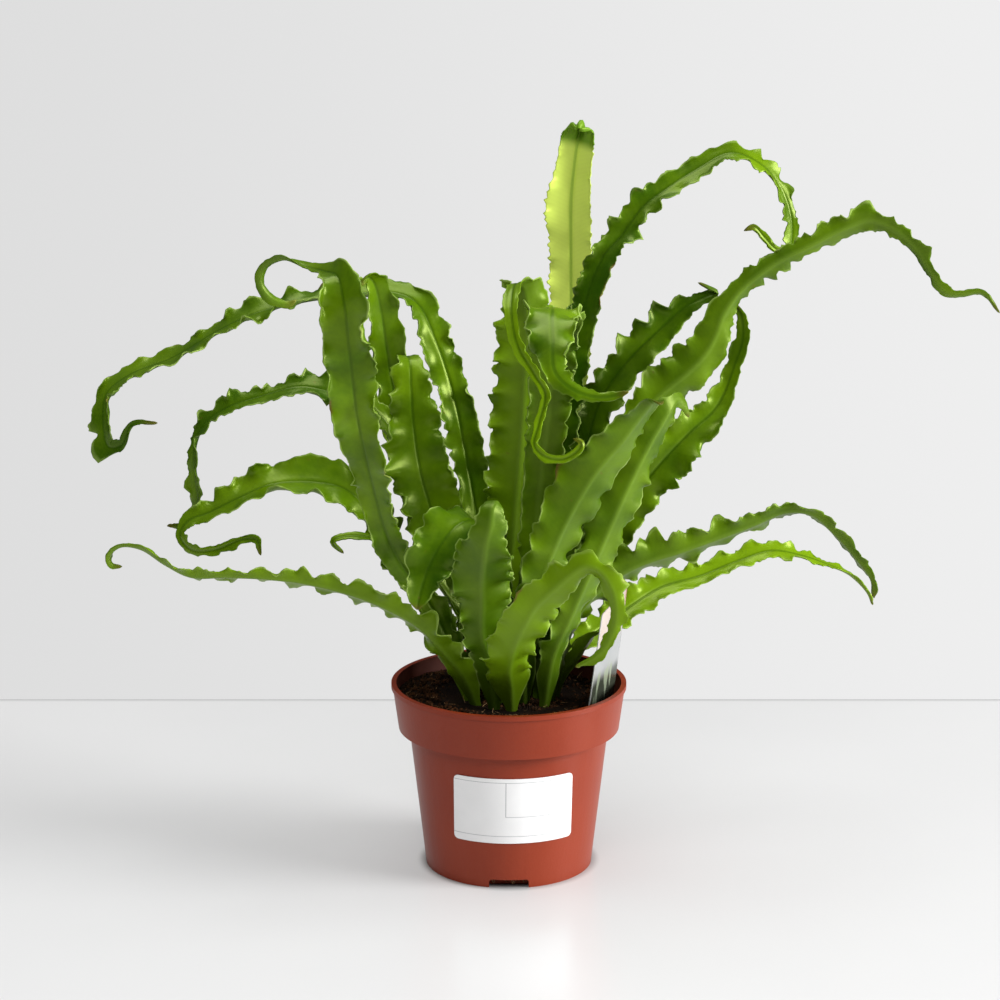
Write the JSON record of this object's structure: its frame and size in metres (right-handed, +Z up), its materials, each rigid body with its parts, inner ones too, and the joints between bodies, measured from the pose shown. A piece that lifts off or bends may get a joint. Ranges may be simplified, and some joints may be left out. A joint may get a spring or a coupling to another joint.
{
  "type": "potted fern",
  "caption": "Fern with long strap-shaped fronds with waved and toothed margins, growing from a short crown in a terracotta-coloured plastic nursery pot with a deep collar",
  "frame": {"origin": "middle of the pot's flat underside, on the surface that it stands on", "axes": "+Z up, -Y the front that the picture shows with the sticker on it, +X to the right seen from the front"},
  "size_m": [0.4575, 0.2518, 0.3749],
  "materials": {
    "terracotta_plastic": "satin moulded plastic",
    "peat": "rough damp peat mix with fibres",
    "rhizome": "rough brown scales",
    "leaf": "glossy leathery leaf, paler margins and midrib",
    "young_leaf": "soft pale green young leaf",
    "sticker_paper": "semi-gloss white label",
    "tag_plastic": "thin glossy printed plastic"
  },
  "bodies": {
    "root": {"pot": "terracotta_plastic", "soil": "peat", "crown": "rhizome", "frond_far_left_arch": "leaf", "frond_near_left": "leaf", "frond_thin_left": "leaf", "frond_left_mid_wide": "leaf", "frond_small_left_curl": "leaf", "frond_low_left": "leaf", "frond_front_left_glossy": "leaf", "frond_front_centre": "leaf", "frond_front_right_light": "leaf", "frond_small_low_right": "leaf", "frond_right_low_upper": "leaf", "frond_right_low_lower": "leaf", "frond_high_right_arch": "leaf", "frond_right_long_arch": "leaf", "frond_right_dark_jagged": "leaf", "frond_right_hanging_tip": "leaf", "frond_right_rolled": "leaf", "frond_centre_right_diagonal": "leaf", "frond_near_overhang": "leaf", "frond_tall_centre": "leaf", "frond_young_upright": "young_leaf", "frond_wide_dark_left": "leaf", "frond_tall_dark_left": "leaf", "frond_back_left": "leaf", "frond_back_centre": "leaf", "frond_back_right": "leaf", "pot_sticker": "sticker_paper", "plant_tag": "tag_plastic"}
  },
  "joints": []
}
